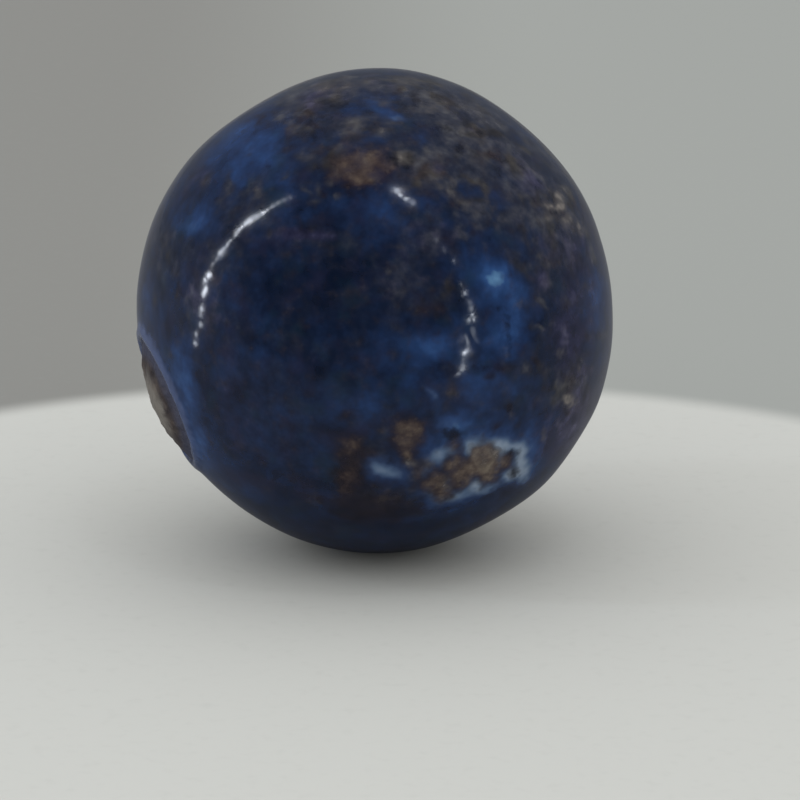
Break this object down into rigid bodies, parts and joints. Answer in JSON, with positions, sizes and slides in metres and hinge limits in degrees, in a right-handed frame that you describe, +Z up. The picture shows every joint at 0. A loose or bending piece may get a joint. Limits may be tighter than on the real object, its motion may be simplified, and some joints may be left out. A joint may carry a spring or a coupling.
{
  "type": "clay marble",
  "caption": "Hand-rolled clay marble with a mottled cobalt and iron-brown glaze, slightly oblong, with a bare kiln mark on its side.",
  "frame": {"origin": "centre of the ball's rolled outline, where its long axis crosses its waist", "axes": "+Z up, with the ball's long axis leaning 18 degrees from it towards -X; the kiln mark faces -X and a little down; the cluster of iron spots is low on the -Y side"},
  "size_m": [0.0192, 0.019, 0.0194],
  "materials": {
    "glazed_clay": "glossy cobalt glaze with iron-brown mottling, pale-blue breaks and a patch of bare brown clay"
  },
  "bodies": {
    "root": {"marble": "glazed_clay"}
  },
  "joints": []
}
